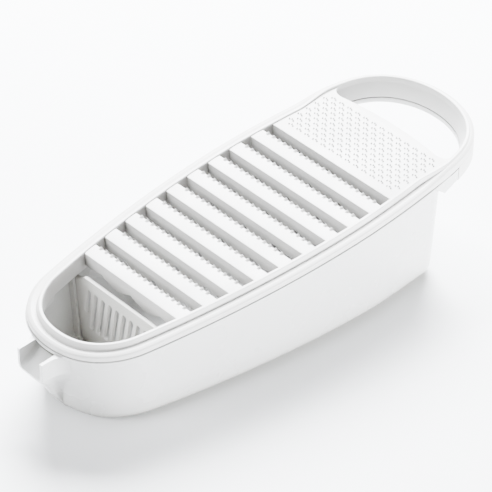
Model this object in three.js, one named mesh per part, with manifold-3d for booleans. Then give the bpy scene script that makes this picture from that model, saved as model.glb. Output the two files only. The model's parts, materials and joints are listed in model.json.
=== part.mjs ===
// Coarse radish grater: a toothed grating plate with a ring handle, seated on a catch container
// that has a pouring spout, and a slotted drain partition standing in grooves of the container.
// Millimetres. Everything is drawn in the rim frame and then stood on its base by the outer group.
// Rim frame: slat tops at z = 0, front edge of the first slat at y = 0, +Y towards the handle.

import * as THREE from "three";
import { LoftGeometry } from "three/addons/geometries/LoftGeometry.js";
import { mergeVertices } from "three/addons/utils/BufferGeometryUtils.js";
import Module from "manifold-3d";

const wasm = await Module();
wasm.setup();

// ---- Driving dimensions ----------------------------------------------------------------------

const WIDTH = 113.6; // plate, at its widest
const FRONT_WELL = 51.2; // open well between the nose rim and the first slat
const SLAT_COUNT = 9;
const SLAT_PITCH = 17;
const SLAT_WIDTH = 9.4;
const PAD_LENGTH = 50; // fine grating pad, on the centre line
const HAND_HOLE = 39.5; // hand hole, on the centre line
const PLATE_SKIN = 2.4; // slats and pad

// Plan outline: the nose narrows to a waist, the sides swell to the widest point, and then run in
// to the shoulders of the handle.
const WAIST_INSET = 15.5; // in from the widest point
const WAIST_AFTER_NOSE = 33.7;
const WAIST_LEAN = 0.21; // sideways run of the outline there for each millimetre back
const WIDEST_AFTER_NOSE = 185.5;
const NOSE_FULLNESS = 0.71; // handle of the nose curve, over the half width of the waist
const SHOULDER_INSET = 8.1;
const SHOULDER_BEFORE_TAIL = 35;
const SHOULDER_LEAN = 0.27;
const TAIL_FULLNESS = 20;

const RIM_WIDTH = 9.3; // rim beside the slats
const GRIP_WIDTH = 4.8; // top face of the rim round the hand hole
const BEAD_HEIGHT = 1.4; // outer bead above the slats
const INNER_BEAD_HEIGHT = 0.7;
const GROOVE_DEPTH = 0.9; // groove between the two beads, below the slats
const RIM_DROP = 5.4; // outer wall of the rim, below the slats
const RIM_WALL = 2.2;
const SKIRT_DEPTH = 11; // skirt round the slatted field
const SKIRT_WALL = 1.8;
const GRIP_DEPTH = 11.6; // inner wall of the grip
const GRIP_BASE = 8; // lower edge of that wall, in from the plate's edge
const GRIP_SKIRT = 14.8; // outer wall of the grip, which hides the container's ring
const GRIP_STEP = 3.5; // where the deep outer wall starts, behind the pad's back edge
const RIM_STEP_AFTER_PAD_EDGE = 11; // where the inner bead stops beside the pad

const WEB_WALL = 1.8; // wavy web under the front edge of each slat
const WEB_DEPTH = 7.2; // at its cusps
const WEB_LOBE = 4; // how much deeper the two middle lobes hang
const WEB_SIDE_LOBE = 1.4;
const WEB_LOBE_WIDTH = 23.3;

const TOOTH_PITCH = 4.45;
const TOOTH_HEIGHT = 2.2;
const TOOTH_WIDTH = 3.1;
const TOOTH_DEPTH = 1.5;
const TOOTH_END_MARGIN = 1.6; // between the last tooth and the rim

const PAD_TOOTH_PITCH = 6.5;
const PAD_ROW_PITCH = 3.5;
const PAD_TOOTH_RADIUS = 1.3;
const PAD_TOOTH_HEIGHT = 1.1;
const PAD_MARGIN_FRONT = 6;
const PAD_MARGIN_BACK = 4;
const PAD_MARGIN_SIDE = 7.5;

const HOLE_CORNER = 8; // corners of the hand hole beside the pad
const HOLE_EDGE_BULGE = 3; // how far the pad's back edge bows into the hole

const CONTAINER_DEPTH = 54.2; // flange top to base, at the first slat
const BASE_RISE = 0.085; // extra depth for each millimetre towards the handle
const CONTAINER_WALL = 2;
const CONTAINER_FLOOR = 2.2;
const BASE_FILLET = 8;
const FLANGE_THICK = 1.7;
const FLANGE_INSET = 0.4; // flange edge, in from the plate's edge
const WALL_INSET = 1.5; // outside of the wall under the flange, in from the plate's edge
const SIDE_DRAFT = 2.5; // how far the side walls lean in, flange to base
const NOSE_DRAFT = 6.8; // the same at the nose
const BACK_WALL_TO_HOLE = 5.2; // back wall's outside at the top, forward of the hand hole
const BACK_CORNER = 14;
const BACK_TAPER = 3.4; // side wall at the back corner, in from the widest point
const GRIP_FLOOR = 3.4; // container's ring, under the plate's grip
const GRIP_RAMP = 14; // the flange deepens to that ring from here, in front of the back wall
const SHOULDER_RISE = 1.6; // from the end of that ramp to the deep outer wall

const SPOUT_REACH = 11; // lip, in front of the nose
const SPOUT_WIDTH = 20;
const SPOUT_HEIGHT = 14.6;
const SPOUT_WALL = 1.8;
const SPOUT_CORNER = 3.4;
const SPOUT_RAMP = 8; // how far the channel's floor climbs from the lip to the nose
const SPOUT_CHIN = 10; // below the lip, where the underside turns into the keel
const SPOUT_CHIN_BACK = 8; // and how far behind the lip
const KEEL_HALF_WIDTH = 2; // at the front of the keel
const KEEL_ROOT_HALF_WIDTH = 9; // where it runs into the wall
const SPOUT_ROOT = 22; // the spout's solid runs this far behind the nose

const PARTITION_FACE = -7.5; // front face of the partition
const PARTITION_THICK = 2.4;
const PARTITION_TOP = 8.3; // below the slats
const PARTITION_SHOULDER = 12; // below the slats, where it widens under the skirt
const PARTITION_CHAMFER = 5.5;
const DRAIN_SLOTS = 10;
const DRAIN_PITCH = 5.7;
const DRAIN_WIDTH = 3.1;
const DRAIN_TOP = 15.5;
const DRAIN_BOTTOM = 44;
const DRAIN_END_SLOT_BOTTOM = 33;
const DRAIN_SLANT = 10.5; // degrees
const GUIDE_REACH = 4.1; // guide ribs, in from the container's wall
const GUIDE_WALL = 1.8;

const SEAT_GAP = 0.5; // plate over flange, grip over grip
const PARTITION_GAP = 0.4; // partition in its guides, and under the plate
const OVERLAP = 0.6; // how far joined solids run into each other
const OUTLINE_STEPS = 96;
const FAR = 400;

// ---- Sizes that follow from them -------------------------------------------------------------

const HALF_WIDTH = WIDTH / 2;
const NOSE_Y = -(FRONT_WELL + RIM_WIDTH);
const PAD_FRONT = SLAT_COUNT * SLAT_PITCH;
const HOLE_FRONT = PAD_FRONT + PAD_LENGTH;
const TAIL_Y = HOLE_FRONT + HAND_HOLE + GRIP_WIDTH;
const FLANGE_TOP = -(RIM_DROP + SEAT_GAP);
const REST_TILT = Math.atan(BASE_RISE);
const GRIP_FLOOR_TOP = -(GRIP_DEPTH + SEAT_GAP);
const GRIP_FLOOR_BOTTOM = GRIP_FLOOR_TOP - GRIP_FLOOR;
const BACK_WALL_Y = HOLE_FRONT - BACK_WALL_TO_HOLE;
const INNER_BEAD_END = PAD_FRONT + RIM_STEP_AFTER_PAD_EDGE;
const GRIP_STEP_Y = HOLE_FRONT + GRIP_STEP;

// Height of the underside of the base, in the rim frame.
const baseZ = (y) => FLANGE_TOP - CONTAINER_DEPTH - BASE_RISE * y;

// ---- Solids ----------------------------------------------------------------------------------

// A closed three.js geometry as a manifold-3d solid.
function solid(geometry) {
  const bare = new THREE.BufferGeometry();
  bare.setAttribute("position", geometry.getAttribute("position"));
  bare.setIndex(geometry.index);
  const merged = mergeVertices(bare, 1e-4);
  const corners = merged.index.array;
  const triangles = [];
  for (let i = 0; i < corners.length; i += 3) {
    const [a, b, c] = [corners[i], corners[i + 1], corners[i + 2]];
    if (a !== b && b !== c && c !== a) triangles.push(a, b, c);
  }
  return new wasm.Manifold(
    new wasm.Mesh({
      numProp: 3,
      vertProperties: merged.attributes.position.array,
      triVerts: new Uint32Array(triangles),
    }),
  );
}

function mesh(name, body, material) {
  const { numProp, vertProperties, triVerts } = body.getMesh();
  const positions = [];
  for (let i = 0; i < vertProperties.length; i += numProp) {
    positions.push(vertProperties[i], vertProperties[i + 1], vertProperties[i + 2]);
  }
  const geometry = new THREE.BufferGeometry();
  geometry.setAttribute("position", new THREE.Float32BufferAttribute(positions, 3));
  geometry.setIndex([...triVerts]);
  geometry.computeVertexNormals();
  const made = new THREE.Mesh(geometry, material);
  made.name = name;
  return made;
}

const unite = (bodies) => bodies.reduce((all, body) => all.add(body));

function box(x0, x1, y0, y1, z0, z1) {
  const geometry = new THREE.BoxGeometry(x1 - x0, y1 - y0, z1 - z0);
  return solid(geometry.translate((x0 + x1) / 2, (y0 + y1) / 2, (z0 + z1) / 2));
}

// The half of space in front of or behind a plane across the part.
const before = (y) => box(-FAR, FAR, -FAR, y, -FAR, FAR);
const behind = (y) => box(-FAR, FAR, y, FAR, -FAR, FAR);

// A shape drawn in x and the depth below the slats, extruded along y from y0 to y1.
function acrossPlate(shape, y0, y1) {
  const geometry = new THREE.ExtrudeGeometry(shape, { depth: y1 - y0, bevelEnabled: false });
  return solid(geometry.rotateX(-Math.PI / 2).translate(0, y0, 0));
}

// A shape drawn in y and z, extruded across the whole part.
function alongPlate(shape) {
  const geometry = new THREE.ExtrudeGeometry(shape, { depth: 2 * FAR, bevelEnabled: false });
  return solid(geometry.rotateX(Math.PI / 2).rotateZ(Math.PI / 2).translate(-FAR, 0, 0));
}

// ---- Outlines --------------------------------------------------------------------------------

// A symmetric closed outline from its right half: cubic curves from the nose to the tail.
function symmetricOutline(start, curves) {
  const shape = new THREE.Shape();
  shape.moveTo(...start);
  curves.forEach((c) => shape.bezierCurveTo(...c));
  const ends = [start, ...curves.map((c) => c.slice(4))];
  for (let i = curves.length - 1; i >= 0; i--) {
    const [ax, ay, bx, by] = curves[i];
    const [endX, endY] = ends[i];
    shape.bezierCurveTo(-bx, by, -ax, ay, -endX, endY);
  }
  return shape.getSpacedPoints(OUTLINE_STEPS).slice(0, -1);
}

// The outline moved in along its own normals.
function inset(outline, distance) {
  return outline.map((p, i) => {
    const next = outline[(i + 1) % outline.length];
    const last = outline[(i + outline.length - 1) % outline.length];
    const along = next.clone().sub(last).normalize();
    return new THREE.Vector2(p.x - along.y * distance, p.y + along.x * distance);
  });
}

const lerpOutline = (a, b, t) => a.map((p, i) => p.clone().lerp(b[i], t));
const atHeight = (outline, z) => outline.map((p) => new THREE.Vector3(p.x, p.y, z));
const shapeOf = (outline) => new THREE.Shape(outline);

function prism(outline, z0, z1) {
  const geometry = new THREE.ExtrudeGeometry(shapeOf(outline), {
    depth: z1 - z0,
    bevelEnabled: false,
  });
  return solid(geometry.translate(0, 0, z0));
}

// A closed section of [inset, z] corners swept once round an outline.
function sweptRing(outline, section) {
  const rings = section.map(([distance, z]) => atHeight(inset(outline, distance), z));
  return solid(new LoftGeometry([...rings, rings[0]]));
}

// The nose and the sides up to the widest point, shared by plate and container.
function noseAndSides(halfWidth, noseY) {
  const waistX = halfWidth - WAIST_INSET;
  const waistY = noseY + WAIST_AFTER_NOSE;
  const widestY = noseY + WIDEST_AFTER_NOSE;
  const [into, outOf, swell] = [10, 23, 66]; // lengths of the curves' handles
  const handleX = waistX - WAIST_LEAN * into;
  const leaveX = waistX + WAIST_LEAN * outOf;
  return {
    start: [0, noseY],
    curves: [
      [NOSE_FULLNESS * waistX, noseY, handleX, waistY - into, waistX, waistY],
      [leaveX, waistY + outOf, halfWidth, widestY - swell, halfWidth, widestY],
    ],
    widestY,
  };
}

function plateOutline() {
  const front = noseAndSides(HALF_WIDTH, NOSE_Y);
  const [shoulderX, shoulderY] = [HALF_WIDTH - SHOULDER_INSET, TAIL_Y - SHOULDER_BEFORE_TAIL];
  const [leave, reach] = [15, 25];
  const lean = SHOULDER_LEAN * reach;
  const atSide = [HALF_WIDTH, front.widestY + leave];
  return symmetricOutline(front.start, [
    ...front.curves,
    [...atSide, shoulderX + lean, shoulderY - reach, shoulderX, shoulderY],
    [shoulderX - lean, shoulderY + reach, TAIL_FULLNESS, TAIL_Y, 0, TAIL_Y],
  ]);
}

// Outside of the container's wall: the plate's nose and sides, closed by a straight back wall.
function containerOutline(sideInset, noseInset, backY) {
  const halfWidth = HALF_WIDTH - sideInset;
  const front = noseAndSides(halfWidth, NOSE_Y + noseInset);
  const [backX, cornerY] = [halfWidth - BACK_TAPER, backY - BACK_CORNER];
  const innerX = backX - BACK_CORNER;
  const bend = BACK_CORNER * 0.45; // handle that makes a cubic corner round
  const reach = 15;
  const atSide = [halfWidth, front.widestY + reach];
  return symmetricOutline(front.start, [
    ...front.curves,
    [...atSide, backX + BACK_TAPER / 3, cornerY - reach, backX, cornerY],
    [backX, backY - bend, innerX + bend, backY, innerX, backY],
    [innerX * 0.6, backY, innerX * 0.3, backY, 0, backY],
  ]);
}

const PLATE = plateOutline();
const WALL_TOP = containerOutline(WALL_INSET, WALL_INSET, BACK_WALL_Y);
const WALL_BASE = containerOutline(
  WALL_INSET + SIDE_DRAFT,
  WALL_INSET + NOSE_DRAFT,
  BACK_WALL_Y - SIDE_DRAFT,
);

// The container's outside moved in by `wall` and up by `floor`, run to the height `top`.
function containerLoft(wall, floor, top) {
  const level = (height, distance) => {
    const t = height / CONTAINER_DEPTH;
    const outline = inset(lerpOutline(WALL_BASE, WALL_TOP, t), wall + distance);
    return outline.map((p) => new THREE.Vector3(p.x, p.y, baseZ(p.y) + height));
  };
  const round = BASE_FILLET - Math.min(wall, BASE_FILLET - 1);
  const corner = round * (1 - Math.SQRT1_2);
  return solid(
    new LoftGeometry(
      [
        level(floor, round),
        level(floor + corner, corner),
        level(floor + round, 0),
        atHeight(inset(WALL_TOP, wall), FLANGE_TOP),
        atHeight(inset(WALL_TOP, wall), Math.max(top, FLANGE_TOP + 1)),
      ],
      { capStart: true, capEnd: true },
    ),
  );
}

// ---- Grating plate ---------------------------------------------------------------------------

// The hand hole: an arch that follows the plate's outline, and the pad's bowed back edge.
function handHole(distance, z0, z1) {
  const arch = inset(PLATE, distance).filter((p) => p.y > HOLE_FRONT + HOLE_CORNER / 2);
  const [right, left] = [arch[0], arch[arch.length - 1]];
  const sideX = right.x + 0.5;
  const cornerY = HOLE_FRONT - HOLE_EDGE_BULGE;
  const edgeX = sideX - HOLE_CORNER;
  const shape = new THREE.Shape();
  shape.moveTo(right.x, right.y);
  arch.slice(1).forEach((p) => shape.lineTo(p.x, p.y));
  shape.quadraticCurveTo(left.x, cornerY, -edgeX, cornerY);
  shape.quadraticCurveTo(0, HOLE_FRONT + HOLE_EDGE_BULGE, edgeX, cornerY);
  shape.quadraticCurveTo(sideX, cornerY, right.x, right.y);
  return prism(shape.getPoints(6).slice(0, -1), z0, z1);
}

// Outer wall and bead, as deep as `drop` below the slats.
function outerRim(drop) {
  return sweptRing(PLATE, [
    [0, -drop],
    [0, 0],
    [0.5, 0.9],
    [1.6, BEAD_HEIGHT],
    [2.8, BEAD_HEIGHT - 0.2],
    [GRIP_WIDTH - 0.6, 0.3],
    [GRIP_WIDTH, 0],
    [GRIP_WIDTH + OVERLAP, -PLATE_SKIN],
    [RIM_WALL, -PLATE_SKIN],
    [RIM_WALL, -drop],
  ]);
}

// Groove, inner bead and skirt round the well and the slats.
function innerRim() {
  const ring = sweptRing(PLATE, [
    [GRIP_WIDTH - OVERLAP, -PLATE_SKIN],
    [GRIP_WIDTH - OVERLAP, -GROOVE_DEPTH],
    [GRIP_WIDTH + 1.6, -GROOVE_DEPTH],
    [RIM_WIDTH - 1.9, INNER_BEAD_HEIGHT],
    [RIM_WIDTH - 0.7, INNER_BEAD_HEIGHT],
    [RIM_WIDTH, 0],
    [RIM_WIDTH, -SKIRT_DEPTH],
    [RIM_WIDTH - SKIRT_WALL, -SKIRT_DEPTH],
    [RIM_WIDTH - SKIRT_WALL, -PLATE_SKIN - GROOVE_DEPTH],
    [GRIP_WIDTH - OVERLAP, -PLATE_SKIN - GROOVE_DEPTH],
  ]);
  return ring.intersect(before(INNER_BEAD_END));
}

// Inner wall of the grip, leaning in from the bead.
function gripWall() {
  const ring = sweptRing(PLATE, [
    [GRIP_WIDTH - 1, 0],
    [GRIP_WIDTH, 0],
    [GRIP_BASE, -GRIP_DEPTH],
    [GRIP_BASE - SKIRT_WALL, -GRIP_DEPTH],
    [GRIP_WIDTH - 1, -PLATE_SKIN],
  ]);
  return ring.intersect(behind(HOLE_FRONT - HOLE_EDGE_BULGE));
}

function pad() {
  const slab = prism(inset(PLATE, RIM_WALL), -PLATE_SKIN, 0).intersect(behind(PAD_FRONT));
  return slab.subtract(handHole(GRIP_WIDTH, -FAR / 2, FAR / 2));
}

function padTooth(x, y) {
  const cone = new THREE.ConeGeometry(PAD_TOOTH_RADIUS, PAD_TOOTH_HEIGHT + OVERLAP, 4);
  return solid(cone.rotateX(Math.PI / 2).translate(x, y, (PAD_TOOTH_HEIGHT - OVERLAP) / 2));
}

// Small four-sided teeth in staggered rows.
function padTeeth() {
  const teeth = [];
  const rows = Math.floor((PAD_LENGTH - PAD_MARGIN_FRONT - PAD_MARGIN_BACK) / PAD_ROW_PITCH);
  const reach = HALF_WIDTH - RIM_WIDTH - PAD_MARGIN_SIDE / 2;
  for (let row = 0; row < rows; row++) {
    const y = PAD_FRONT + PAD_MARGIN_FRONT + PAD_ROW_PITCH * (row + 0.5);
    const shift = row % 2 ? PAD_TOOTH_PITCH / 2 : 0;
    const first = Math.ceil((-reach - shift) / PAD_TOOTH_PITCH);
    const last = Math.floor((reach - shift) / PAD_TOOTH_PITCH);
    for (let i = first; i <= last; i++) {
      teeth.push(padTooth(shift + i * PAD_TOOTH_PITCH, y));
    }
  }
  return teeth;
}

// Depth of the wavy lower edge of a web at x.
function webDepth(x) {
  const lobes = Math.abs(x) / WEB_LOBE_WIDTH;
  const wave = Math.abs(Math.sin(Math.PI * lobes));
  return WEB_DEPTH + wave * (lobes < 1 ? WEB_LOBE : WEB_SIDE_LOBE);
}

function web(y) {
  const shape = new THREE.Shape();
  const steps = 32;
  const reach = 2 * WEB_LOBE_WIDTH + 4;
  shape.moveTo(-reach, PLATE_SKIN / 2);
  shape.lineTo(reach, PLATE_SKIN / 2);
  for (let i = steps; i >= 0; i--) {
    const x = reach * ((2 * i) / steps - 1);
    shape.lineTo(x, webDepth(x));
  }
  return acrossPlate(shape, y, y + WEB_WALL);
}

// A row of upright triangular teeth along the back edge of a slat.
function toothRow(y, halfLength) {
  const shape = new THREE.Shape();
  const count = 2 * Math.floor((halfLength - TOOTH_END_MARGIN) / TOOTH_PITCH);
  const edge = (count / 2) * TOOTH_PITCH;
  shape.moveTo(-edge, PLATE_SKIN / 2);
  shape.lineTo(edge, PLATE_SKIN / 2);
  shape.lineTo(edge, 0);
  for (let i = count - 1; i >= 0; i--) {
    const x = (i - (count - 1) / 2) * TOOTH_PITCH;
    shape.lineTo(x + TOOTH_WIDTH / 2, 0);
    shape.lineTo(x, -TOOTH_HEIGHT);
    shape.lineTo(x - TOOTH_WIDTH / 2, 0);
  }
  shape.lineTo(-edge, 0);
  return acrossPlate(shape, y - TOOTH_DEPTH, y);
}

// Half width of the slatted field at y.
function fieldHalfWidth(y) {
  const edge = inset(PLATE, RIM_WIDTH);
  const nearest = edge.filter((p) => p.x > 0).sort((a, b) => Math.abs(a.y - y) - Math.abs(b.y - y));
  return nearest[0].x;
}

function slats() {
  const field = prism(inset(PLATE, RIM_WIDTH - OVERLAP), -FAR / 2, FAR / 2);
  const bars = [];
  const teeth = [];
  for (let i = 0; i < SLAT_COUNT; i++) {
    const front = i * SLAT_PITCH;
    const back = front + SLAT_WIDTH;
    bars.push(box(-HALF_WIDTH, HALF_WIDTH, front, back, -PLATE_SKIN, 0), web(front));
    teeth.push(toothRow(back, fieldHalfWidth(back)));
  }
  bars.push(web(PAD_FRONT));
  return unite(bars).intersect(field).add(unite(teeth));
}

function gratingPlate() {
  const rim = outerRim(RIM_DROP).add(outerRim(GRIP_SKIRT).intersect(behind(GRIP_STEP_Y)));
  return unite([rim, innerRim(), gripWall(), pad(), slats(), ...padTeeth()]);
}

// ---- Container -------------------------------------------------------------------------------

// Level sections of the spout: the lip above, the chin under it, and the keel down to the base.
function spoutBody() {
  const lipY = NOSE_Y - SPOUT_REACH;
  const rootY = NOSE_Y + SPOUT_ROOT;
  const round = SPOUT_CORNER / 2;
  const section = (frontHalf, rootHalf, frontY, z) => {
    const points = [
      [rootHalf, rootY],
      [-rootHalf, rootY],
      [-frontHalf, frontY + round],
      [-frontHalf + round, frontY],
      [frontHalf - round, frontY],
      [frontHalf, frontY + round],
    ];
    return points.map(([x, y]) => new THREE.Vector3(x, y, z));
  };
  const half = SPOUT_WIDTH / 2;
  const lipBottom = FLANGE_TOP - SPOUT_HEIGHT;
  const chinZ = lipBottom - SPOUT_CHIN;
  const chinY = lipY + SPOUT_CHIN_BACK;
  const footY = NOSE_Y + WALL_INSET + NOSE_DRAFT + 2;
  const footZ = baseZ(footY) + 1;
  const bellyY = THREE.MathUtils.lerp(chinY, footY, 0.5) - 1;
  const keel = KEEL_HALF_WIDTH + round;
  return solid(
    new LoftGeometry(
      [
        section(keel, KEEL_ROOT_HALF_WIDTH, footY, footZ),
        section(keel, KEEL_ROOT_HALF_WIDTH, bellyY, (chinZ + footZ) / 2),
        section(keel, KEEL_ROOT_HALF_WIDTH, chinY, chinZ),
        section(half - SPOUT_CORNER, half, lipY + 0.4, lipBottom),
        section(half, half, lipY, lipBottom + SPOUT_CORNER),
        section(half, half, lipY, FLANGE_TOP),
      ],
      { capStart: true, capEnd: true },
    ),
  );
}

// The pouring channel: open on top and at the lip, its floor climbing to a sill at the nose.
function spoutChannel() {
  const half = SPOUT_WIDTH / 2 - SPOUT_WALL;
  const corner = SPOUT_CORNER - SPOUT_WALL / 2;
  const section = (y, floorZ) => {
    const points = [
      [-half, FLANGE_TOP + 1],
      [-half, floorZ + corner],
      [-half + corner, floorZ],
      [half - corner, floorZ],
      [half, floorZ + corner],
      [half, FLANGE_TOP + 1],
    ];
    return points.map(([x, z]) => new THREE.Vector3(x, y, z));
  };
  const lipFloor = FLANGE_TOP - SPOUT_HEIGHT + SPOUT_WALL;
  const sill = lipFloor + SPOUT_RAMP;
  const lipY = NOSE_Y - SPOUT_REACH;
  return solid(
    new LoftGeometry(
      [
        section(NOSE_Y + RIM_WIDTH, sill),
        section(NOSE_Y + WALL_INSET, sill),
        section(lipY - 1, lipFloor - SPOUT_RAMP / SPOUT_REACH),
      ],
      { capStart: true, capEnd: true },
    ),
  );
}

// Two ribs down each side wall and across the floor, which hold the partition between them.
function guideRibs() {
  const rim = containerLoft(CONTAINER_WALL - OVERLAP, CONTAINER_FLOOR - OVERLAP, FLANGE_TOP);
  const inside = containerLoft(CONTAINER_WALL + GUIDE_REACH, CONTAINER_FLOOR + GUIDE_REACH / 2, 0);
  const top = -(SKIRT_DEPTH + SEAT_GAP);
  const frontRib = PARTITION_FACE - PARTITION_GAP;
  const backRib = PARTITION_FACE + PARTITION_THICK + PARTITION_GAP;
  const slices = box(-FAR, FAR, frontRib - GUIDE_WALL, frontRib, -FAR, top).add(
    box(-FAR, FAR, backRib, backRib + GUIDE_WALL, -FAR, top),
  );
  return rim.subtract(inside).intersect(slices);
}

// The ring inside the plate's grip, and the deep shoulders that join it to the flange.
function containerGrip() {
  const ring = sweptRing(PLATE, [
    [RIM_WALL + SEAT_GAP, GRIP_FLOOR_BOTTOM],
    [RIM_WALL + SEAT_GAP, GRIP_FLOOR_TOP],
    [GRIP_BASE, GRIP_FLOOR_TOP],
    [GRIP_BASE, GRIP_FLOOR_BOTTOM],
  ]);
  const flangeBottom = FLANGE_TOP - FLANGE_THICK;
  const rampEnd = BACK_WALL_Y - GRIP_RAMP / 3;
  const side = new THREE.Shape();
  side.moveTo(BACK_WALL_Y - GRIP_RAMP, flangeBottom);
  side.lineTo(rampEnd, GRIP_FLOOR_BOTTOM);
  side.lineTo(GRIP_STEP_Y - SEAT_GAP, GRIP_FLOOR_BOTTOM + SHOULDER_RISE);
  side.lineTo(GRIP_STEP_Y - SEAT_GAP, FLANGE_TOP);
  side.lineTo(BACK_WALL_Y - GRIP_RAMP, FLANGE_TOP);
  const shoulderEdge = prism(inset(PLATE, FLANGE_INSET), -FAR / 2, FLANGE_TOP);
  const shoulders = alongPlate(side)
    .intersect(shoulderEdge)
    .subtract(prism(inset(PLATE, FLANGE_INSET + CONTAINER_WALL), GRIP_FLOOR_TOP, FAR / 2))
    .subtract(handHole(GRIP_BASE, -FAR / 2, FAR / 2));
  return ring.intersect(behind(HOLE_FRONT)).add(shoulders);
}

function flange() {
  const edge = FLANGE_INSET;
  const ring = sweptRing(PLATE, [
    [edge, FLANGE_TOP - FLANGE_THICK],
    [edge, FLANGE_TOP],
    [WALL_INSET + CONTAINER_WALL, FLANGE_TOP],
    [WALL_INSET + CONTAINER_WALL, FLANGE_TOP - FLANGE_THICK],
  ]);
  return ring.intersect(before(BACK_WALL_Y));
}

function container() {
  const outside = containerLoft(0, 0, FLANGE_TOP).intersect(
    box(-FAR, FAR, -FAR, FAR, -FAR, FLANGE_TOP),
  );
  const inside = containerLoft(CONTAINER_WALL, CONTAINER_FLOOR, 10);
  const body = unite([outside, spoutBody(), flange(), containerGrip()]);
  return body.subtract(inside).subtract(spoutChannel()).add(guideRibs());
}

// ---- Drain partition -------------------------------------------------------------------------

function drainSlot(x, bottom) {
  const slot = new THREE.Shape();
  const r = DRAIN_WIDTH / 2;
  const lean = Math.tan(THREE.MathUtils.degToRad(DRAIN_SLANT));
  const run = (bottom - DRAIN_TOP - 2 * r) * lean;
  slot.absarc(x, DRAIN_TOP + r, r, Math.PI, 2 * Math.PI);
  slot.absarc(x - run, bottom - r, r, 0, Math.PI);
  const points = slot.getPoints(4).slice(0, -1);
  return acrossPlate(new THREE.Shape(points), PARTITION_FACE - 5, PARTITION_FACE + 10);
}

function drainPartition() {
  const gap = PARTITION_GAP;
  const bay = containerLoft(CONTAINER_WALL + gap, CONTAINER_FLOOR + gap, 0);
  const shoulderX = fieldHalfWidth(PARTITION_FACE) - 2 * gap;
  const front = new THREE.Shape();
  front.moveTo(-shoulderX + PARTITION_CHAMFER, PARTITION_TOP);
  front.lineTo(shoulderX - PARTITION_CHAMFER, PARTITION_TOP);
  front.lineTo(shoulderX, PARTITION_SHOULDER);
  front.lineTo(HALF_WIDTH, PARTITION_SHOULDER);
  front.lineTo(HALF_WIDTH, FAR / 2);
  front.lineTo(-HALF_WIDTH, FAR / 2);
  front.lineTo(-HALF_WIDTH, PARTITION_SHOULDER);
  front.lineTo(-shoulderX, PARTITION_SHOULDER);
  const sheet = acrossPlate(front, PARTITION_FACE, PARTITION_FACE + PARTITION_THICK);
  const slots = [];
  for (let i = 0; i < DRAIN_SLOTS; i++) {
    const x = (i - (DRAIN_SLOTS - 1) / 2) * DRAIN_PITCH;
    slots.push(drainSlot(x, i === 0 ? DRAIN_END_SLOT_BOTTOM : DRAIN_BOTTOM));
  }
  return sheet.intersect(bay).subtract(unite(slots));
}

// ---- The grater ------------------------------------------------------------------------------

const white = (color, roughness) =>
  new THREE.MeshStandardMaterial({ color, roughness, metalness: 0 });

const rimFrame = new THREE.Group();
rimFrame.add(
  mesh("grating_plate", gratingPlate(), white("#f3f3f5", 0.42)),
  mesh("catch_container", container(), white("#eeeff2", 0.3)),
  mesh("drain_partition", drainPartition(), white("#f1f1f0", 0.45)),
);

// Stand the container's base on z = 0 and centre the whole part over the origin.
const grater = new THREE.Group();
grater.add(rimFrame);
rimFrame.rotation.x = REST_TILT;
rimFrame.position.z = (CONTAINER_DEPTH - FLANGE_TOP) * Math.cos(REST_TILT);
grater.updateMatrixWorld(true);
const extent = new THREE.Box3().setFromObject(grater, true);
rimFrame.position.y -= (extent.min.y + extent.max.y) / 2;
grater.updateMatrixWorld(true);

export default grater;
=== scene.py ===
import json
import math

import bmesh
import bpy
import numpy as np
from mathutils import Matrix, Vector


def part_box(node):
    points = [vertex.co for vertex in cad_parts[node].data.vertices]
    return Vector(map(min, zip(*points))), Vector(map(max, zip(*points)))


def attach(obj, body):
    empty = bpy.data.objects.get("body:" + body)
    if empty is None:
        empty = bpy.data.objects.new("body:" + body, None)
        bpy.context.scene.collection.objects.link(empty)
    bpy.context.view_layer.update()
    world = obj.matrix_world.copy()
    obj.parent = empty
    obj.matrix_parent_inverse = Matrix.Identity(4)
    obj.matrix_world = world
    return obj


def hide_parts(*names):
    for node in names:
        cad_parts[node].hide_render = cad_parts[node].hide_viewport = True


# White moulded radish grater: a slatted plate on a catch container with a drain partition.
# The pieces are drawn in millimetres in the plate's own frame (slat tops at z = 0, front edge of
# the first slat at y = 0, +Y to the handle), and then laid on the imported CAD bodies.

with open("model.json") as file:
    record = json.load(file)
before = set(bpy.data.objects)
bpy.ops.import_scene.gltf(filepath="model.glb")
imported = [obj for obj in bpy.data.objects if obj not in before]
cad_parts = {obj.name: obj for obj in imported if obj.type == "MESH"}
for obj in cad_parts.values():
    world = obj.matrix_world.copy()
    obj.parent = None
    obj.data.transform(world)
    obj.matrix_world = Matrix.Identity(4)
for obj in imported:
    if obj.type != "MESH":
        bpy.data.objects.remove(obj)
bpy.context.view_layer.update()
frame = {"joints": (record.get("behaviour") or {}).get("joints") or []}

# ---- The plate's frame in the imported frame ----

WIDTH = 113.6
FRONT_WELL = 51.2
SLAT_COUNT = 9
SLAT_PITCH = 17.0
SLAT_WIDTH = 9.4
PAD_LENGTH = 50.0
HAND_HOLE = 39.5
WEB_THICK = 1.8
WEB_DEPTH = 7.2
WEB_LOBE = 23.3
TOOTH_PITCH = 4.45
TOOTH_HEIGHT = 1.35
TOOTH_END_MARGIN = 1.6
PAD_ROWS = 11
PAD_ROW_PITCH = 3.5
PAD_TOOTH_PITCH = 6.5
PAD_TOOTH_HEIGHT = 0.95
SKIN = 2.4
RIM_WIDTH = 9.3
GRIP_WIDTH = 4.8
RIM_DROP = 5.4
RIM_WALL = 2.2
SKIRT_DEPTH = 11.0
SKIRT_WALL = 1.8
GRIP_DEPTH = 11.6
GRIP_BASE = 8.0
GRIP_SKIRT = 14.8
HOLE_CORNER = 8.0
HOLE_BULGE = 3.0
DEPTH = 54.2
RISE = 0.085
WALL = 2.0
FLOOR = 2.2
FILLET = 8.0
FLANGE = 1.7
WALL_INSET = 1.5
SIDE_DRAFT = 2.5
NOSE_DRAFT = 6.8
SPOUT_REACH = 11.0
SPOUT_HALF = 10.0
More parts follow.
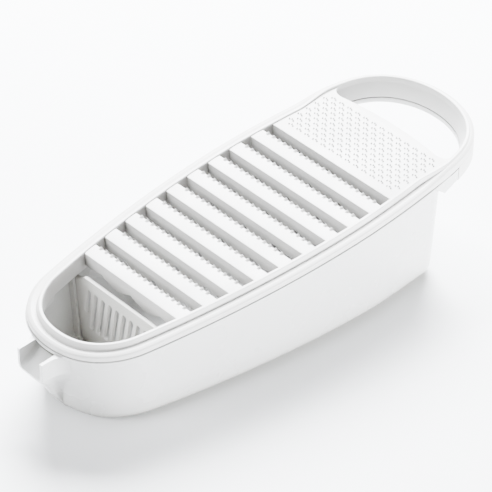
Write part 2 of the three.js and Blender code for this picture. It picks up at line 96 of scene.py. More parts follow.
SPOUT_HEIGHT = 14.6
SPOUT_WALL = 1.8
PARTITION_FACE = -7.5
PARTITION_THICK = 2.4
DRAIN_SLOTS = 10
DRAIN_SLOT_PITCH = 5.7
DRAIN_SLOT_WIDTH = 3.1
DRAIN_SLOT_LEAN = 10.5
SEAT_GAP = 0.5
SMOOTH_ANGLE = 32

HALF = WIDTH / 2
NOSE_Y = -(FRONT_WELL + RIM_WIDTH)
PAD_FRONT = SLAT_COUNT * SLAT_PITCH
HOLE_FRONT = PAD_FRONT + PAD_LENGTH
TAIL_Y = HOLE_FRONT + HAND_HOLE + GRIP_WIDTH
FLANGE_TOP = -(RIM_DROP + SEAT_GAP)
BACK_WALL = HOLE_FRONT - 5.2
STEP_Y = HOLE_FRONT + 3.5
RING_TOP = -(GRIP_DEPTH + SEAT_GAP)
RING_BOTTOM = RING_TOP - 3.4
LIP_Y = NOSE_Y - SPOUT_REACH
LIP_FLOOR = FLANGE_TOP - SPOUT_HEIGHT

lift = next(j for j in frame["joints"] if j["name"] == "plate_lift")["axis"]
tilt = math.atan2(-lift[1], lift[2])
lip_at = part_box("catch_container")[0].y * 1000
shift_y = lip_at - LIP_Y * math.cos(tilt) + FLANGE_TOP * math.sin(tilt)
shift_z = (DEPTH - FLANGE_TOP) * math.cos(tilt)
TO_FRAME = (
    Matrix.Scale(0.001, 4)
    @ Matrix.Translation((0, shift_y, shift_z))
    @ Matrix.Rotation(tilt, 4, "X")
)


def base_z(y):
    return FLANGE_TOP - DEPTH - RISE * y


# ---- Outlines ----


def cubic(start, curve, count=80):
    t = np.linspace(0, 1, count)[:, None]
    a, b, c, d = (np.array(p, float) for p in (start, curve[0:2], curve[2:4], curve[4:6]))
    return a * (1 - t) ** 3 + 3 * b * t * (1 - t) ** 2 + 3 * c * t**2 * (1 - t) + d * t**3


def closed_outline(start, curves, count=240):
    """The right half is drawn from nose to tail, spaced evenly, and mirrored."""
    half = [np.array([start], float)]
    for curve in curves:
        half.append(cubic(half[-1][-1], curve)[1:])
    half = np.vstack(half)
    along = np.concatenate([[0], np.cumsum(np.linalg.norm(np.diff(half, axis=0), axis=1))])
    even = np.linspace(0, along[-1], count + 1)
    half = np.stack([np.interp(even, along, half[:, k]) for k in (0, 1)], 1)
    return np.vstack([half, half[-2:0:-1] * (-1, 1)])


def inset(outline, distance):
    along = np.roll(outline, -1, 0) - np.roll(outline, 1, 0)
    along /= np.linalg.norm(along, axis=1)[:, None]
    return outline + np.stack([-along[:, 1], along[:, 0]], 1) * distance


def nose_and_sides(half, nose_y):
    waist_x, waist_y, widest_y = half - 15.5, nose_y + 33.7, nose_y + 185.5
    nose = [0.71 * waist_x, nose_y, waist_x - 2.1, waist_y - 10, waist_x, waist_y]
    side = [waist_x + 4.83, waist_y + 23, half, widest_y - 66, half, widest_y]
    return [nose, side], widest_y


def plate_outline():
    curves, widest_y = nose_and_sides(HALF, NOSE_Y)
    sx, sy = HALF - 8.1, TAIL_Y - 35
    curves.append([HALF, widest_y + 15, sx + 6.75, sy - 25, sx, sy])
    curves.append([sx - 6.75, sy + 25, 20, TAIL_Y, 0, TAIL_Y])
    return closed_outline((0, NOSE_Y), curves)


def wall_outline(side_in, nose_in, back_y):
    half = HALF - side_in
    curves, widest_y = nose_and_sides(half, NOSE_Y + nose_in)
    bx, cy, bend = half - 3.4, back_y - 14, 6.3
    ix = bx - 14
    curves.append([half, widest_y + 15, bx + 1.13, cy - 15, bx, cy])
    curves.append([bx, back_y - bend, ix + bend, back_y, ix, back_y])
    curves.append([ix * 0.6, back_y, ix * 0.3, back_y, 0, back_y])
    return closed_outline((0, NOSE_Y + nose_in), curves)


PLATE = plate_outline()
WALL_TOP = wall_outline(WALL_INSET, WALL_INSET, BACK_WALL)
WALL_BASE = wall_outline(WALL_INSET + SIDE_DRAFT, WALL_INSET + NOSE_DRAFT, BACK_WALL - SIDE_DRAFT)


def half_width(outline, y):
    right = outline[: len(outline) // 2 + 1]
    return float(np.interp(y, right[:, 1], right[:, 0]))


# ---- Mesh building ----


def rounded(corners, steps=5):
    """A closed section of (u, v, radius) corners with each corner rounded."""
    made = []
    for i, (u, v, radius) in enumerate(corners):
        here = Vector((u, v))
        if not radius:
            made.append((u, v))
            continue
        last, following = corners[i - 1], corners[(i + 1) % len(corners)]
        to_last = (Vector(last[:2]) - here).normalized()
        to_next = (Vector(following[:2]) - here).normalized()
        half_angle = to_last.angle(to_next) / 2
        reach = radius / math.tan(half_angle)
        bisector = (to_last + to_next).normalized()
        centre = here + bisector * (radius / math.sin(half_angle))
        a, b = here + to_last * reach - centre, here + to_next * reach - centre
        turn = a.angle_signed(b)
        for k in range(steps + 1):
            spun = Matrix.Rotation(-turn * k / steps, 2) @ a
            made.append(tuple(centre + spun))
    return made


def raw_mesh(verts, faces):
    bm = bmesh.new()
    made = [bm.verts.new(v) for v in verts]
    for face in faces:
        bm.faces.new([made[i] for i in face])
    bmesh.ops.recalc_face_normals(bm, faces=bm.faces)
    mesh = bpy.data.meshes.new("shape")
    bm.to_mesh(mesh)
    bm.free()
    return mesh


def rings_mesh(rings, closed_path, closed_section):
    """Quads between rings of equal length; open ends of a section's sweep are capped."""
    rings = np.asarray(rings, float)
    m, n = rings.shape[:2]
    verts = rings.reshape(-1, 3)
    faces = []
    for j in range(m if closed_section else m - 1):
        for i in range(n if closed_path else n - 1):
            k, l = (j + 1) % m, (i + 1) % n
            faces.append([j * n + i, j * n + l, k * n + l, k * n + i])
    if not closed_path:
        faces.append([j * n for j in range(m)])
        faces.append([j * n + n - 1 for j in range(m)])
    if not closed_section:
        faces.append(list(range(n)))
        faces.append([(m - 1) * n + i for i in range(n)])
    return raw_mesh(verts, faces)


def cut_path(levels, keep, y):
    """The part of stacked outlines in front of or behind y, with an exact end there."""
    key = levels[0][:, 1]
    inside = key < y if keep == "front" else key > y
    n = len(key)
    first = next(i for i in range(n) if inside[i] and not inside[i - 1])
    run = [(first + k) % n for k in range(n) if inside[(first + k) % n]]

    def end(i, j):
        t = (y - key[i]) / (key[j] - key[i])
        return [lv[i] + (lv[j] - lv[i]) * t for lv in levels]

    before, after = end(run[0], run[0] - 1), end(run[-1], (run[-1] + 1) % n)
    return [np.vstack([before[k], lv[run], after[k]]) for k, lv in enumerate(levels)]


def swept(section, keep, y):
    """A section of (inset, z) run round the part of the plate's outline before or behind y."""
    levels = [np.c_[inset(PLATE, d), np.full(len(PLATE), z)] for d, z in section]
    outline = np.c_[PLATE, PLATE[:, :1]]
    return rings_mesh(cut_path([outline, *levels], keep, y)[1:], False, True)


def wall_loft(wall, floor, top, fillet_steps=8):
    """The container's outside moved in by wall and up by floor, as a closed solid."""
    fillet = FILLET - min(wall, FILLET - 1)
    levels = []
    for k in range(fillet_steps + 1):
        a = math.pi / 2 * k / fillet_steps
        height, distance = floor + fillet * (1 - math.cos(a)), fillet * (1 - math.sin(a))
        t = height / DEPTH
        outline = inset(WALL_BASE * (1 - t) + WALL_TOP * t, wall + distance)
        levels.append(np.c_[outline, base_z(outline[:, 1]) + height])
    lip = inset(WALL_TOP, wall)
    levels.append(np.c_[lip, np.full(len(lip), FLANGE_TOP)])
    if top > FLANGE_TOP:
        levels.append(np.c_[lip, np.full(len(lip), top)])
    return rings_mesh(levels, True, False)


def flat_shape(loops, thickness, bevel, steps=2):
    """A flat sheet from closed loops, holes among them, with rounded edges, lying in XY."""
    curve = bpy.data.curves.new("flat", "CURVE")
    curve.dimensions = "2D"
    curve.fill_mode = "BOTH"
    curve.extrude = thickness / 2 - bevel
    curve.bevel_depth = bevel
    curve.offset = -bevel
    curve.bevel_resolution = steps
    for loop in loops:
        spline = curve.splines.new("POLY")
        spline.points.add(len(loop) - 1)
        for point, (u, v) in zip(spline.points, loop):
            point.co = (u, v, 0, 1)
        spline.use_cyclic_u = True
    holder = bpy.data.objects.new("flat", curve)
    bpy.context.scene.collection.objects.link(holder)
    mesh = bpy.data.meshes.new_from_object(holder)
    bpy.data.objects.remove(holder)
    bm = bmesh.new()
    bm.from_mesh(mesh)
    bmesh.ops.remove_doubles(bm, verts=bm.verts, dist=1e-4)
    bmesh.ops.recalc_face_normals(bm, faces=bm.faces)
    bm.to_mesh(mesh)
    bm.free()
    return mesh


def upright(mesh, y_middle):
    """Stand a flat shape up across the plate: its X and Y become x and z."""
    mesh.transform(Matrix.Translation((0, y_middle, 0)) @ Matrix.Rotation(math.pi / 2, 4, "X"))
    return mesh


def level(mesh, z_middle):
    mesh.transform(Matrix.Translation((0, 0, z_middle)))
    return mesh


def block(low, high):
    bm = bmesh.new()
    bmesh.ops.create_cube(bm, size=1)
    size = [b - a for a, b in zip(low, high)]
    middle = [(a + b) / 2 for a, b in zip(low, high)]
    bmesh.ops.transform(
        bm, matrix=Matrix.Translation(middle) @ Matrix.Diagonal((*size, 1)), verts=bm.verts
    )
    mesh = bpy.data.meshes.new("block")
    bm.to_mesh(mesh)
    bm.free()
    return mesh


def combined(body, operation, *tools):
    """body with each tool joined to it, taken from it or kept in common with it."""
    holder = bpy.data.objects.new("body", body)
    bpy.context.scene.collection.objects.link(holder)
    helpers = []
    for tool in tools:
        helper = bpy.data.objects.new("tool", tool)
        bpy.context.scene.collection.objects.link(helper)
        helpers.append(helper)
        step = holder.modifiers.new("combine", "BOOLEAN")
        step.operation = operation
        step.solver = "MANIFOLD"
        step.object = helper
    depsgraph = bpy.context.evaluated_depsgraph_get()
    made = bpy.data.meshes.new_from_object(holder.evaluated_get(depsgraph))
    for made_for_this in (holder, *helpers):
        bpy.data.objects.remove(made_for_this)
    return made


def piece(name, body, node, material, shapes):
    """One piece from closed shapes of one moulding, riding on its CAD body."""
    bm = bmesh.new()
    for shape in shapes:
        bm.from_mesh(shape)
    mesh = bpy.data.meshes.new(name)
    bm.to_mesh(mesh)
    bm.free()
    mesh.transform(TO_FRAME)
    mesh.shade_smooth()
    mesh.set_sharp_from_angle(angle=math.radians(SMOOTH_ANGLE))
    mesh.materials.append(material)
    made = bpy.data.objects.new(name, mesh)
    bpy.context.scene.collection.objects.link(made)
    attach(made, body)
    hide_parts(node)


# ---- Materials ----


def linear(hex_colour):
    channels = [int(hex_colour[i : i + 2], 16) / 255 for i in (1, 3, 5)]
    return [c / 12.92 if c <= 0.04045 else ((c + 0.055) / 1.055) ** 2.4 for c in channels] + [1]


def add(tree, kind, inputs=None, **settings):
    """A node with its settings and with sockets set to values or to other nodes' outputs."""
    node = tree.nodes.new(kind)
    for key, value in settings.items():
        setattr(node, key, value)
    for key, value in (inputs or {}).items():
        if isinstance(value, bpy.types.NodeSocket):
            tree.links.new(value, node.inputs[key])
        else:
            node.inputs[key].default_value = value
    return node


def moulded_plastic(
    name, pale, deep, painted_shade_colour, roughness, spread, grain_mm, grain_height_mm, wave_mm, reach_mm
):
    """Injection-moulded polypropylene: nearly even white, a satin skin whose gloss drifts over
    centimetres as the mould's polish does, a fine eroded grain, and a very slow waviness.
    Recesses narrower than about reach_mm are darkened with painted shade: an ambient occlusion
    node mixes the colour there towards a darker, warmer shade colour."""
    material = bpy.data.materials.new(name)
    material.use_nodes = True
    tree = material.node_tree
    tree.nodes.clear()
    place = add(tree, "ShaderNodeTexCoord").outputs["Object"]
    drift = add(tree, "ShaderNodeTexNoise", {"Vector": place, "Scale": 1000 / 28, "Detail": 3})
    grain = add(
        tree, "ShaderNodeTexNoise", {"Vector": place, "Scale": 1000 / grain_mm, "Detail": 4}
    )
    wave = add(tree, "ShaderNodeTexNoise", {"Vector": place, "Scale": 1000 / 40, "Detail": 1})
    tone = add(
        tree,
        "ShaderNodeMix",
        {"Factor": drift.outputs["Fac"], 6: linear(pale), 7: linear(deep)},
        data_type="RGBA",
    )
    gloss = add(
        tree,
        "ShaderNodeMapRange",
        {
            "Value": drift.outputs["Fac"],
            "From Min": 0.3,
            "From Max": 0.7,
            "To Min": roughness - spread,
            "To Max": roughness + spread,
        },
    )
    waved = add(
        tree,
        "ShaderNodeBump",
        {"Height": wave.outputs["Fac"], "Distance": wave_mm / 1000, "Strength": 1.0},
    )
    grained = add(
        tree,
        "ShaderNodeBump",
        {
            "Height": grain.outputs["Fac"],
            "Distance": grain_height_mm / 1000,
            "Strength": 1.0,
            "Normal": waved.outputs["Normal"],
        },
    )
    # Painted shade: the ambient occlusion output darkens the base colour in recesses, slots and
    # between parts, where shade falls.
    painted_shade_ao = add(tree, "ShaderNodeAmbientOcclusion", {"Distance": reach_mm / 1000}, samples=8)
    shade = add(
        tree,
        "ShaderNodeMapRange",
        {
            "Value": painted_shade_ao.outputs["AO"],
            "From Min": 0.15, "From Max": 0.75, "To Min": 1, "To Max": 0,
        },
    )
    toned = add(
        tree,
        "ShaderNodeMix",
        {"Factor": shade.outputs["Result"], 6: tone.outputs[2], 7: linear(painted_shade_colour)},
        data_type="RGBA",
    )
    skin = add(
        tree,
        "ShaderNodeBsdfPrincipled",
        {
            "Base Color": toned.outputs[2],
            "Roughness": gloss.outputs["Result"],
            "Normal": grained.outputs["Normal"],
            "IOR": 1.49,
        },
    )
    add(tree, "ShaderNodeOutputMaterial", {"Surface": skin.outputs["BSDF"]})
    return material


# The darkest colour given to each plastic below is painted shade: the tone its recesses are
# darkened to, not a colour of the plastic.
plate_plastic = moulded_plastic(
    "satin_polypropylene",
    pale="#c6c5c3", deep="#c2c1bf", painted_shade_colour="#65625e",
    roughness=0.42, spread=0.05,
    grain_mm=0.55, grain_height_mm=0.02, wave_mm=0.03, reach_mm=12,
)
container_plastic = moulded_plastic(
    "polished_polypropylene",
    pale="#c3c3c2", deep="#bfbfbe", painted_shade_colour="#8b8982",
    roughness=0.27, spread=0.05,
    grain_mm=0.4, grain_height_mm=0.004, wave_mm=0.05, reach_mm=34,
)
partition_plastic = moulded_plastic(
    "partition_polypropylene",
    pale="#c3c2be", deep="#bfbeba", painted_shade_colour="#8b8982",
    roughness=0.4, spread=0.05,
    grain_mm=0.5, grain_height_mm=0.012, wave_mm=0.03, reach_mm=34,
)

# ---- Grating plate ----

side_rim = rounded([
    (0.7, -RIM_DROP, 0.3), (0.7, -2.3, 1.3), (3.2, -1.7, 1.2), (6.0, -2.6, 0.3),
    (7.3, 0.8, 0.6), (RIM_WIDTH, 0.8, 0.7), (RIM_WIDTH, -SKIRT_DEPTH, 0.5),
    (RIM_WIDTH - SKIRT_WALL, -SKIRT_DEPTH, 0.5), (RIM_WIDTH - SKIRT_WALL, -3.6, 0.2),
    (5.4, -4.7, 0), (2.4, -4.7, 0), (2.4, -RIM_DROP, 0.3),
])
grip_rim = rounded([
    (0, -RIM_DROP, 0.3), (0, -0.6, 1.3), (1.7, 0.1, 0.6), (2.3, 0.2, 0.1),
    (3.0, 1.4, 0.5), (GRIP_WIDTH, 1.2, 0.7), (GRIP_WIDTH + 0.6, -2.4, 0.1),
    (4.9, -3.0, 0.1), (4.2, -3.2, 0.1), (3.6, -3.4, 0), (RIM_WALL, -3.6, 0),
    (RIM_WALL, -RIM_DROP, 0.3),
])
grip_skirt = rounded([
    (0, -RIM_DROP + 0.6, 0), (0, -GRIP_SKIRT, 0.7), (RIM_WALL, -GRIP_SKIRT, 0.7),
    (RIM_WALL, -RIM_DROP + 0.6, 0),
])
grip_wall = rounded([
    (GRIP_WIDTH - 1.4, -0.1, 0), (GRIP_WIDTH, -0.1, 0.4), (GRIP_BASE, -GRIP_DEPTH, 0.5),
    (GRIP_BASE - SKIRT_WALL, -GRIP_DEPTH, 0.5), (GRIP_WIDTH - 1.4, -SKIN, 0),
])


def quadratic(a, b, c, count=14):
    t = np.linspace(0, 1, count)[:, None]
    a, b, c = (np.array(p, float) for p in (a, b, c))
    return a * (1 - t) ** 2 + 2 * b * t * (1 - t) + c * t**2


def hole_front(distance):
    """Right end of the arch, and the curve from there round the corners and across the pad."""
    arch = inset(PLATE, distance)
    start_y = HOLE_FRONT + HOLE_CORNER / 2
    start = np.array([half_width(arch, start_y), start_y])
    side_x, corner_y = start[0] + 0.5, HOLE_FRONT - HOLE_BULGE
    edge_x = side_x - HOLE_CORNER
    right = quadratic(start, (side_x, corner_y), (edge_x, corner_y))
    bow = quadratic((edge_x, corner_y), (0, HOLE_FRONT + HOLE_BULGE), (-edge_x, corner_y), 40)
    left = right[::-1] * (-1, 1)
    return np.vstack([right, bow[1:-1], left])


def band_outline(edge, front_y, distance):
    """The plan of a sheet from front_y to the hand hole, between the sides of edge."""
    back = hole_front(distance)
    right = edge[: len(edge) // 2]
    right = right[(right[:, 1] > front_y) & (right[:, 1] < back[0][1])]
    right = np.vstack([[half_width(edge, front_y), front_y], right])
    return np.vstack([right, back, right[::-1] * (-1, 1)])


def grip_share(outline):
    """How far the rim has turned from its side section into its grip section."""
    t = np.clip((outline[:, 1] - (HOLE_FRONT - 30)) / 30, 0, 1)
    return t * t * (3 - 2 * t)


def rim():
    share = grip_share(PLATE)
    levels = []
    for (d0, z0), (d1, z1) in zip(side_rim, grip_rim):
        distance = d0 + (d1 - d0) * share
        levels.append(np.c_[inset(PLATE, distance[:, None]), z0 + (z1 - z0) * share])
    return rings_mesh(levels, True, True)


pad_inset = RIM_WIDTH - 1.2 - (RIM_WIDTH - GRIP_WIDTH - 0.4) * grip_share(PLATE)
pad_plan = band_outline(inset(PLATE, pad_inset[:, None]), PAD_FRONT, GRIP_WIDTH)
pad = level(flat_shape([pad_plan], SKIN, 0.35), -SKIN / 2)


def slat(front):
    """A crowned bar with rounded edges, its ends run into the rim."""
    section = []
    rounding = [0, 0.004, 0.012, 0.025, 0.04]
    for u in [*rounding, *np.linspace(0.1, 0.9, 7), 0.96, 0.975, 0.988, 0.996, 1]:
        edge = 0.3 * (1 - math.sqrt(max(0, 1 - max(0, abs(2 * u - 1) - 0.93) ** 2 * 204)))
        section.append((u * SLAT_WIDTH, 0.2 * (1 - (2 * u - 1) ** 2) - edge))
    section += [(SLAT_WIDTH, -SKIN), (0, -SKIN)]
    field = inset(PLATE, RIM_WIDTH - 0.9)
    rings = []
    for y, z in section:
        x = half_width(field, front + y)
        rings.append([(-x, front + y, z), (x, front + y, z)])
    return rings_mesh(rings, False, True)


def web(front):
    """The wavy strip under a slat's front edge: one deep lobe each side, then shallow ones."""
    reach = half_width(inset(PLATE, RIM_WIDTH - 0.9), front + 1)
    xs = np.linspace(-reach, reach, 121)
    lobes = np.abs(xs) / WEB_LOBE
    depth = WEB_DEPTH + np.abs(np.sin(np.pi * lobes)) * np.where(lobes < 1, 4.0, 1.4)
    loop = [(-reach, -SKIN / 2), (reach, -SKIN / 2)]
    loop += [(x, -d) for x, d in zip(xs[::-1], depth[::-1])]
    return upright(flat_shape([loop], WEB_THICK, 0.3), front + WEB_THICK / 2 + 0.05)


def pyramid(x, y, half_x, back, front, tip_y, ridge, height):
    """A tooth whose back is steep and whose front slopes down, its foot sunk in the plate."""
    foot = [(x - half_x, y + back, -0.5), (x + half_x, y + back, -0.5)]
    foot += [(x + half_x * 0.6, y - front, -0.5), (x - half_x * 0.6, y - front, -0.5)]
    top = [(x, y + tip_y, height), (x, y + tip_y - ridge, height * 0.93)]
    faces = [(0, 1, 2, 3), (0, 1, 4), (1, 2, 5, 4), (2, 3, 5), (3, 0, 4, 5)]
    return raw_mesh(foot + top, faces)


def tooth_row(back):
    half = half_width(inset(PLATE, RIM_WIDTH), back)
    count = 2 * int((half - TOOTH_END_MARGIN) / TOOTH_PITCH)
    xs = [(i - (count - 1) / 2) * TOOTH_PITCH for i in range(count)]
    return [pyramid(x, back, 1.8, 0.25, 2.6, 0.2, 0.3, TOOTH_HEIGHT) for x in xs]


def pad_teeth():
    """Staggered rows of little arches, each of three low teeth side by side."""
    made = []
    reach = HALF - RIM_WIDTH - 5
    for row in range(PAD_ROWS):
        y = PAD_FRONT + 6 + PAD_ROW_PITCH * (row + 0.5)
        offset = PAD_TOOTH_PITCH / 2 if row % 2 else 0
        for k in range(-8, 9):
            x = offset + PAD_TOOTH_PITCH * k
            if abs(x) <= reach:
                for side, shift in ((-1.5, -0.7), (0, 0), (1.5, -0.7)):
                    tooth = (0.8, 0.6, 0.75, 0.2, 0.25, PAD_TOOTH_HEIGHT)
                    made.append(pyramid(x + side, y + shift, *tooth))
    return made


plate_shapes = [
    rim(),
    swept(grip_skirt, "back", STEP_Y),
    swept(grip_wall, "back", HOLE_FRONT - HOLE_BULGE + 3),
    pad,
]
for number in range(SLAT_COUNT):
    start = number * SLAT_PITCH
    plate_shapes += [slat(start), web(start), *tooth_row(start + SLAT_WIDTH)]
plate_shapes += [web(PAD_FRONT), *pad_teeth()]
piece(
    "grating_plate_fine", "plate", "grating_plate", plate_plastic, plate_shapes
)

# ---- Catch container ----

CHIN_Z = LIP_FLOOR - 10
CHIN_Y = LIP_Y + 8
FOOT_Y = NOSE_Y + WALL_INSET + NOSE_DRAFT + 2
FOOT_Z = base_z(FOOT_Y) + 1
ROOT_Y = NOSE_Y + 22


def spout_section(front_half, root_half, corner, front_y, z):
    """A level section of the spout and keel; the sides flare where they meet the wall."""
    steps = 6
    right = []
    for k in range(steps + 1):
        a = math.pi / 2 * k / steps
        right.append((
            front_half - corner + corner * math.sin(a),
            front_y + corner - corner * math.cos(a),
        ))
    start = right[-1]
    share = (z - base_z(NOSE_Y)) / DEPTH
    nose = (WALL_BASE * (1 - share) + WALL_TOP * share)[:70]
    lift = max(0, 1 - share * DEPTH / FILLET)
    undercut = FILLET * (1 - math.sqrt(1 - min(1, lift) ** 2))
    flare_y = np.interp(root_half, nose[:, 0], nose[:, 1]) + undercut + 0.3
    flare_y = max(flare_y, start[1] + 1)
    for k in range(1, 9):
        t = k / 8
        right.append((
            start[0] + (root_half - start[0]) * t**3,
            start[1] + (flare_y - start[1]) * t,
        ))
    right.append((root_half, ROOT_Y))
    left = [(-x, y) for x, y in right[::-1]]
    return [(x, y, z) for x, y in right + left]


def spout_body():
    """Lip, chin and keel, as level sections on smooth curves."""
    belly_y = (CHIN_Y + FOOT_Y) / 2 - 1
    knots = [
        (FOOT_Z, 3.4, 13.5, 2.4, FOOT_Y),
        ((CHIN_Z + FOOT_Z) / 2, 3.4, 13.5, 2.4, belly_y),
        (CHIN_Z, 3.8, 14.5, 2.6, CHIN_Y),
        (LIP_FLOOR - 3.5, 5.6, 15.0, 2.0, LIP_Y + 2.6),
        (LIP_FLOOR, SPOUT_HALF - 2.6, 15.0, 0.8, LIP_Y + 0.5),
        (LIP_FLOOR + 1.2, SPOUT_HALF - 0.8, 15.0, 0.5, LIP_Y + 0.1),
        (LIP_FLOOR + 3.4, SPOUT_HALF, 15.0, 0.4, LIP_Y),
        (FLANGE_TOP, SPOUT_HALF, 15.0, 0.4, LIP_Y),
    ]
    knots = np.array(knots)
    heights = np.unique(np.r_[np.linspace(FOOT_Z, LIP_FLOOR - 3.5, 14), knots[:, 0]])
    rings = []
    for z in heights:
        values = [np.interp(z, knots[:, 0], knots[:, k]) for k in (1, 2, 3, 4)]
        rings.append(spout_section(*values, z))
    return rings_mesh(rings, True, False)


def spout_channel():
    half, corner = SPOUT_HALF - SPOUT_WALL, 2.5
    floor = LIP_FLOOR + SPOUT_WALL
    sill = floor + 8
    rings = []
    stations = ((LIP_Y - 1, floor - 0.73), (NOSE_Y + WALL_INSET, sill), (NOSE_Y + RIM_WIDTH, sill))
    for y, z in stations:
        section = rounded([
            (-half, FLANGE_TOP + 1, 0), (-half, z, corner), (half, z, corner),
            (half, FLANGE_TOP + 1, 0),
        ])
        rings.append([(x, y, w) for x, w in section])
    return rings_mesh(rings, True, False)


def guide_ribs():
    """Two ribs down each side and across the floor, with the partition's groove between them."""
    outer = wall_loft(WALL - 0.6, FLOOR - 0.6, FLANGE_TOP)
    inner = wall_loft(WALL + 4.1, FLOOR + 2.05, 0)
    front = PARTITION_FACE - 0.4
    back = PARTITION_FACE + PARTITION_THICK + 0.4
    top = -(SKIRT_DEPTH + SEAT_GAP)
    shell = combined(outer, "DIFFERENCE", inner)
    made = []
    for low, high in ((front - 1.8, front), (back, back + 1.8)):
        made.append(combined(shell.copy(), "INTERSECT", block((-80, low, -90), (80, high, top))))
    return made


shell_body = combined(
    wall_loft(0, 0, FLANGE_TOP),
    "DIFFERENCE",
    wall_loft(WALL, FLOOR, 4),
    spout_channel(),
)
spout = combined(
    spout_body(),
    "DIFFERENCE",
    wall_loft(WALL - 0.7, FLOOR - 0.7, 4),
    spout_channel(),
)
flange = rounded([
    (0, FLANGE_TOP + 0.25, 0.4), (3.2, FLANGE_TOP + 0.25, 0), (3.2, FLANGE_TOP - FLANGE, 0),
    (0, FLANGE_TOP - FLANGE, 0.5),
])
ring = rounded([
    (RIM_WALL + SEAT_GAP, RING_BOTTOM, 0.6), (RIM_WALL + SEAT_GAP, RING_TOP, 0.4),
    (GRIP_BASE, RING_TOP, 0.4), (GRIP_BASE, RING_BOTTOM, 0.8),
])


def shoulders():
    """The flange's edge, deepening from the side walls to the ring under the grip."""
    start, full, end = BACK_WALL - 14, BACK_WALL - 4.7, STEP_Y - SEAT_GAP
    edge, inner = inset(PLATE, 0.05), inset(PLATE, 2.4)
    shallow = FLANGE_TOP - FLANGE + 0.3
    made = []
    ys = [start, *(y for _, y in edge[: len(PLATE) // 2] if start < y < end), full, end]
    for sign in (1, -1):
        rings = [[] for _ in range(6)]
        for y in sorted(ys):
            if y < full:
                bottom = np.interp(y, [start, full], [shallow, RING_BOTTOM])
            else:
                bottom = np.interp(y, [full, end], [RING_BOTTOM, RING_BOTTOM + 1.6])
            out_x, in_x = half_width(edge, y) * sign, half_width(inner, y) * sign
            soft = 0.5 * sign
            section = [
                (out_x, FLANGE_TOP - 0.2), (out_x, bottom + 0.5), (out_x - soft, bottom),
                (in_x + soft, bottom), (in_x, bottom + 0.5), (in_x, FLANGE_TOP - 0.2),
            ]
            for k, (x, z) in enumerate(section):
                rings[k].append((x, y, z))
        made.append(rings_mesh(rings, False, True))
    return made


def grip_floor():
    front = BACK_WALL - 3
    thick = RING_TOP - RING_BOTTOM - 0.2
    loop = band_outline(inset(PLATE, 2.2), front, GRIP_BASE)
    return level(flat_shape([loop], thick, 0.4), (RING_TOP + RING_BOTTOM) / 2)


container_shapes = [
    shell_body,
    spout,
    swept(flange, "front", BACK_WALL),
    swept(ring, "back", HOLE_FRONT + 1),
    *shoulders(),
    grip_floor(),
    *guide_ribs(),
]
piece(
    "catch_container_fine",
    "container",
    "catch_container",
    container_plastic,
    container_shapes,
)

# ---- Drain partition ----


def partition_outline():
    y = PARTITION_FACE + PARTITION_THICK / 2
    wall, floor = WALL + 0.4, FLOOR + 0.4
    fillet = FILLET - wall
    bottom = base_z(y) + floor

    def side_x(z):
        t = (z - base_z(y)) / DEPTH
        return half_width(inset(WALL_BASE * (1 - t) + WALL_TOP * t, wall), y)

    shoulder = half_width(inset(PLATE, RIM_WIDTH), PARTITION_FACE) - 0.8
    right = []
    for k in range(9):
        a = math.pi / 2 * k / 8
        z = bottom + fillet * (1 - math.cos(a))
        right.append((side_x(bottom + fillet) - fillet * (1 - math.sin(a)), z))
    right += [(side_x(-12), -12), (shoulder, -12), (shoulder - 5.5, -8.3)]
    return right + [(-x, z) for x, z in right[::-1]]


def drain_slot(x, bottom):
    radius, top, lean = DRAIN_SLOT_WIDTH / 2, 15.5, math.tan(math.radians(DRAIN_SLOT_LEAN))
    run = (bottom - top - 2 * radius) * lean
    a = np.linspace(0, math.pi, 9)
    upper = np.c_[x + radius * np.cos(a), -top - radius + radius * np.sin(a)]
    lower = np.c_[x - run - radius * np.cos(a), -bottom + radius - radius * np.sin(a)]
    return np.vstack([upper, lower])


loops = [partition_outline()]
for k in range(DRAIN_SLOTS):
    middle = (k - (DRAIN_SLOTS - 1) / 2) * DRAIN_SLOT_PITCH
    loops.append(drain_slot(middle, 33 if k == 0 else 44))
partition_mesh = upright(
    flat_shape(loops, PARTITION_THICK, 0.35), PARTITION_FACE + PARTITION_THICK / 2
)
piece(
    "drain_partition_fine",
    "partition",
    "drain_partition",
    partition_plastic,
    [partition_mesh],
)

# ---- Studio ----

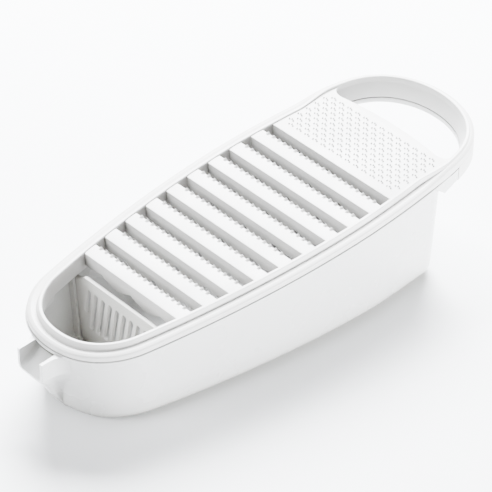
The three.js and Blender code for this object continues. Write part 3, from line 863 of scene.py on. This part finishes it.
floor_mesh = raw_mesh([(-3, -3, 0), (3, -3, 0), (3, 3, 0), (-3, 3, 0)], [(0, 1, 2, 3)])
studio_floor = bpy.data.objects.new("studio_floor", floor_mesh)
studio_floor.location.z = -0.0004
bpy.context.scene.collection.objects.link(studio_floor)
paper = bpy.data.materials.new("white_paper")
paper.use_nodes = True
paper_skin = paper.node_tree.nodes["Principled BSDF"]
paper_skin.inputs["Base Color"].default_value = linear("#eeeff0")
paper_skin.inputs["Roughness"].default_value = 0.9
floor_mesh.materials.append(paper)

world = bpy.data.worlds.new("studio_world")
world.use_nodes = True
world.node_tree.nodes["Background"].inputs["Color"].default_value = (1, 1, 1, 1)
world.node_tree.nodes["Background"].inputs["Strength"].default_value = 0.46
bpy.context.scene.world = world


def softbox(name, place, aim, size, watts):
    data = bpy.data.lights.new(name, "AREA")
    data.shape = "RECTANGLE"
    data.size, data.size_y = size
    data.energy = watts
    data.color = (0.955, 0.975, 1.0)
    lamp = bpy.data.objects.new(name, data)
    lamp.location = place
    lamp.rotation_euler = (Vector(aim) - Vector(place)).to_track_quat("-Z", "Y").to_euler()
    bpy.context.scene.collection.objects.link(lamp)


softbox("top_softbox", (-0.75, 0.75, 1.15), (0, 0.03, 0.03), (1.0, 1.0), 350)
softbox("side_softbox", (1.4, 0.7, 0.1), (0, 0.05, 0.03), (0.8, 0.18), 135)
softbox("front_softbox", (-0.35, -1.25, 0.78), (0, -0.02, 0.03), (0.7, 0.5), 36)

CAMERA_RIGHT, CAMERA_UP, CAMERA_DISTANCE = 62.414, 21.346, 1504.854
CAMERA_LENS = 204.878
AZIMUTH, ELEVATION = math.radians(46.083), math.radians(40.816)
back = Vector((
    math.cos(ELEVATION) * math.sin(AZIMUTH),
    -math.cos(ELEVATION) * math.cos(AZIMUTH),
    math.sin(ELEVATION),
))
right = Vector((math.cos(AZIMUTH), math.sin(AZIMUTH), 0))
up = back.cross(right)
spot = right * CAMERA_RIGHT + up * CAMERA_UP + back * CAMERA_DISTANCE
aimed = Matrix((right, up, back)).transposed().to_4x4()
camera_data = bpy.data.cameras.new("camera")
camera_data.lens = CAMERA_LENS
camera_data.sensor_width = 36
camera_data.clip_end = 20
camera = bpy.data.objects.new("camera", camera_data)
turned = Matrix.Rotation(tilt, 4, "X")
camera.matrix_world = Matrix.Translation(TO_FRAME @ spot) @ turned @ aimed
bpy.context.scene.collection.objects.link(camera)
bpy.context.scene.camera = camera
